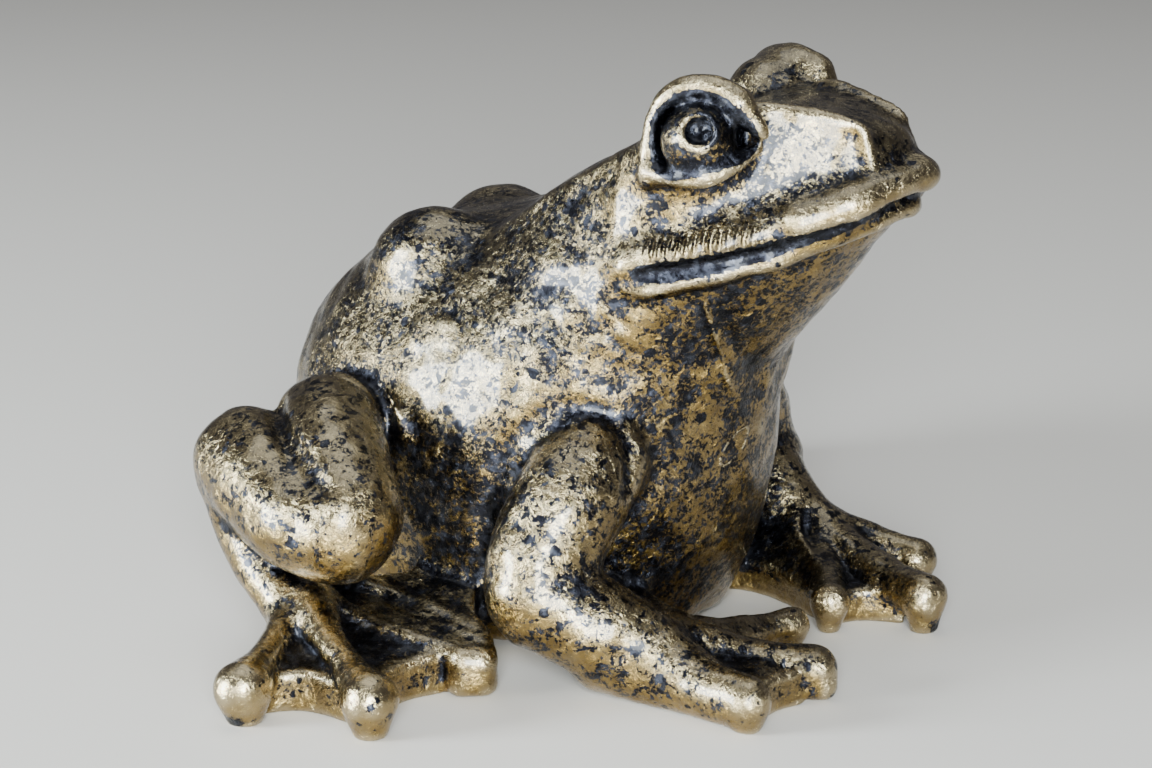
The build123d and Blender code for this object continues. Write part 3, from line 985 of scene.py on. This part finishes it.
def antique_gold():
    """Gold coat rubbed back over a blue-black patina, which stays in pits and creases. The gold carries
    painted reflection, warmer on what faces down and paler on what faces up, and the mouth, pupils and eye
    sockets carry painted shade.
    """
    paint = Paint("antique_gold")
    shader = paint.shader
    texture, crevice = paint.attribute("texture"), paint.attribute("crevice")
    hollow, patina_and_painted_shade, ribs = paint.attribute("hollow"), paint.attribute("patina_and_painted_shade"), paint.attribute("ribs")
    limb = paint.attribute("limb")

    # Patina shows where this adds up to enough: fine ragged grain, in clusters, round pits, and creases,
    # with painted shade added in the mouth, pupils and eye sockets.
    ragged = paint.wobbled(1.5, 1.1)
    large_pits = pits(paint, 3.4, ragged, 0.42, 0.40)
    small_pits = pits(paint, 1.7, ragged, 0.40, 0.42)
    grain = paint.noise(0.95, 5.0, 0.72, 0.4, ragged)
    streaks = paint.noise(2.6, 4.0, 0.6, 0.3, paint.stretched(ragged, 0.55, 1.0, 1.25))
    clusters = paint.noise(7.5, 3.0, 0.6)
    weights = (
        (streaks, 0.50), (clusters, 0.45), (large_pits, 0.26), (small_pits, 0.14), (texture, 0.16),
        (crevice, 0.90), (hollow, 0.36), (patina_and_painted_shade, 1.0),
    )
    amount = grain
    for part, weight in weights:
        amount = paint.maths("ADD", amount, paint.maths("MULTIPLY", part, weight))
    blotches = paint.step(paint.noise(2.3, 5.0, 0.66, 0.4, ragged), 0.52, 0.59, 0.0, 0.23)
    amount = paint.maths("ADD", amount, paint.maths("MULTIPLY", blotches, limb))
    patina = paint.step(amount, PATINA_STARTS, PATINA_STARTS + 0.09)
    scars = [scratched_oval(paint, *scratch) for scratch in (CHEST_SCRATCH, SHANK_SCAR)]
    scars = paint.maths("MAXIMUM", *scars)

    tone = paint.noise(4.0, 4.0, 0.6)
    # Painted reflection: what faces down gets the warm tone, as if lit by the floor, and what faces up gets
    # the pale tone, as if reflecting window and sky. On the limbs the upward tone is lighter still.
    downward_reflection = paint.blend(paint.step(tone, 0.35, 0.65), *DOWNWARD_PAINTED_REFLECTION_GOLD)
    upward_reflection = paint.blend(paint.step(tone, 0.35, 0.65), *UPWARD_PAINTED_REFLECTION_GOLD)
    upward_reflection = paint.blend(paint.maths("MULTIPLY", limb, 0.40), upward_reflection, LIMB_GOLD)
    gold_and_painted_reflection = paint.blend(paint.step(paint.up(), -0.25, 0.55), downward_reflection, upward_reflection)
    gold_and_painted_reflection = paint.blend(paint.step(crevice, 0.47, 0.36), gold_and_painted_reflection, RUBBED_GOLD)
    dark = paint.blend(paint.step(paint.noise(2.2, 3.0), 0.45, 0.62), *PATINA)

    coloured = paint.blend(patina, gold_and_painted_reflection, dark)
    paint.feed(shader.inputs["Base Color"], paint.blend(scars, coloured, RUBBED_GOLD))
    shader.inputs["Metallic"].default_value = 1.0
    scuffed = paint.noise(1.3, 4.0, 0.65)
    rough = paint.step(scuffed, 0.3, 0.7, 0.15, 0.31)
    rough = paint.maths("ADD", rough, paint.maths("MULTIPLY", patina, 0.08))
    paint.feed(shader.inputs["Roughness"], rough)
    paint.feed(shader.inputs["Coat Weight"], paint.step(patina, 0.2, 0.9, 0.48, 0.20))
    shader.inputs["Coat Roughness"].default_value = 0.13

    leafing = paint.noise(2.6, 5.0, 0.62, 0.8, ragged)
    surface = paint.bump(paint.maths("MULTIPLY", leafing, paint.step(texture, 0.2, 1.0, 0.35, 1.0)), 0.65)
    surface = paint.bump(paint.maths("MULTIPLY", patina, -1.0), 0.16, surface)
    surface = paint.bump(scuffed, 0.08, surface)
    surface = paint.bump(paint.maths("MULTIPLY", paint.noise(0.7, 3.0, 0.6), patina), 0.14, surface)
    surface = paint.bump(scars, 0.35, surface)
    across = paint.node("ShaderNodeTexWave", wave_type="BANDS", bands_direction="X")
    paint.feed(across.inputs["Vector"], paint.wobbled(4.0, 1.0))
    paint.feed(across.inputs["Scale"], RIB_WAVES_PER_METRE)
    surface = paint.bump(paint.maths("MULTIPLY", across.outputs["Fac"], ribs), 1.1, surface)
    paint.feed(shader.inputs["Normal"], surface)
    return paint.material


mesh.materials.append(antique_gold())


def backing_board():
    """Black fibre board with a faint mottle and scuffed high spots."""
    paint = Paint("backing_board")
    fibres = paint.noise(1.8, 5.0, 0.6, 0.0, paint.stretched(paint.place, 1.0, 3.0, 1.0))
    dust = paint.noise(9.0, 4.0, 0.6)
    board = paint.blend(paint.step(fibres, 0.35, 0.70), (0.012, 0.012, 0.013, 1), (0.030, 0.029, 0.028, 1))
    dusty = paint.blend(paint.step(dust, 0.55, 0.75, 0.0, 0.35), board, (0.09, 0.085, 0.08, 1))
    paint.feed(paint.shader.inputs["Base Color"], dusty)
    paint.feed(paint.shader.inputs["Roughness"], paint.step(fibres, 0.3, 0.7, 0.62, 0.82))
    paint.feed(paint.shader.inputs["Normal"], paint.bump(fibres, 0.12))
    return paint.material


def felt():
    """Dark green wool felt."""
    paint = Paint("felt")
    wool = paint.noise(0.7, 6.0, 0.7, 1.2)
    tufts = paint.noise(3.0, 4.0, 0.6, 0.5)
    green = paint.blend(paint.step(wool, 0.35, 0.65), (0.012, 0.030, 0.018, 1), (0.045, 0.085, 0.050, 1))
    tufted = paint.blend(paint.step(tufts, 0.5, 0.8, 0.0, 0.4), green, (0.07, 0.11, 0.07, 1))
    paint.feed(paint.shader.inputs["Base Color"], tufted)
    paint.feed(paint.shader.inputs["Roughness"], paint.step(wool, 0.2, 0.8, 0.88, 0.98))
    paint.shader.inputs["Sheen Weight"].default_value = 0.5
    paint.feed(paint.shader.inputs["Normal"], paint.bump(wool, 0.35))
    return paint.material


def painted(node, material):
    """Gives a carried-over CAD node a material of its own, in its object's slot."""
    node.material_slots[0].link = "OBJECT"
    node.material_slots[0].material = material


painted(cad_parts["base_plate"], backing_board())
pad_felt = felt()
for corner in ("front_left", "front_right", "rear_left", "rear_right"):
    painted(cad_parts["felt_pad_" + corner], pad_felt)


# ---- floor, light and camera ----

def direction(azimuth, elevation):
    """Unit vector out from the frog. Azimuth 0 is its right side and 90 its front."""
    a, e = radians(azimuth), radians(elevation)
    return Vector((sin(a) * cos(e), -cos(a) * cos(e), sin(e)))


def area_light(name, azimuth, elevation, distance, size, power, colour):
    """Soft lamp that shines at the middle of the frog."""
    data = bpy.data.lights.new(name, "AREA")
    data.shape = "RECTANGLE"
    data.size, data.size_y = size
    data.energy, data.color = power, colour
    lamp = bpy.data.objects.new(name, data)
    back = direction(azimuth, elevation)
    lamp.location = centre + back * distance
    lamp.rotation_euler = back.to_track_quat("Z", "Y").to_euler()
    bpy.context.collection.objects.link(lamp)


low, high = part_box(CASTING)
centre = (low + high) / 2
area_light("window", -41, 6, 1.2, (0.42, 0.60), 60.0, (0.82, 0.92, 1.0))
area_light("doorway", 30, 12, 1.2, (0.42, 0.70), 60.0, (0.84, 0.93, 1.0))
area_light("ceiling", -90, 84, 1.3, (1.2, 1.2), 9.5, (0.88, 0.94, 1.0))

world = bpy.data.worlds.new("studio")
world.use_nodes = True
world.node_tree.nodes["Background"].inputs["Color"].default_value = (0.54, 0.52, 0.54, 1)
world.node_tree.nodes["Background"].inputs["Strength"].default_value = 0.26
bpy.context.scene.world = world

floor_mesh = bpy.data.meshes.new("floor")
floor_mesh.from_pydata([(-3, -3, 0), (3, -3, 0), (3, 3, 0), (-3, 3, 0)], [], [(0, 1, 2, 3)])
floor = bpy.data.objects.new("floor", floor_mesh)
floor.location.z = low.z
bpy.context.collection.objects.link(floor)
floor_paint = bpy.data.materials.new("floor_paint")
floor_paint.use_nodes = True
floor_shader = floor_paint.node_tree.nodes["Principled BSDF"]
floor_shader.inputs["Base Color"].default_value = (0.62, 0.58, 0.52, 1)
floor_shader.inputs["Roughness"].default_value = 0.6
floor_mesh.materials.append(floor_paint)

VIEW_AZIMUTH, VIEW_ELEVATION = 29.6, 15.77
VIEW_DISTANCE = 0.6761
VIEW_TARGET = Vector((-0.00966, 0, 0.05194))
SENSOR, LENS = 36.0, 90.625
camera_data = bpy.data.cameras.new("camera")
camera_data.sensor_width, camera_data.lens = SENSOR, LENS
camera = bpy.data.objects.new("camera", camera_data)
back = direction(VIEW_AZIMUTH, VIEW_ELEVATION)
camera.location = VIEW_TARGET + back * VIEW_DISTANCE
camera.rotation_euler = back.to_track_quat("Z", "Y").to_euler()
bpy.context.collection.objects.link(camera)
bpy.context.scene.camera = camera
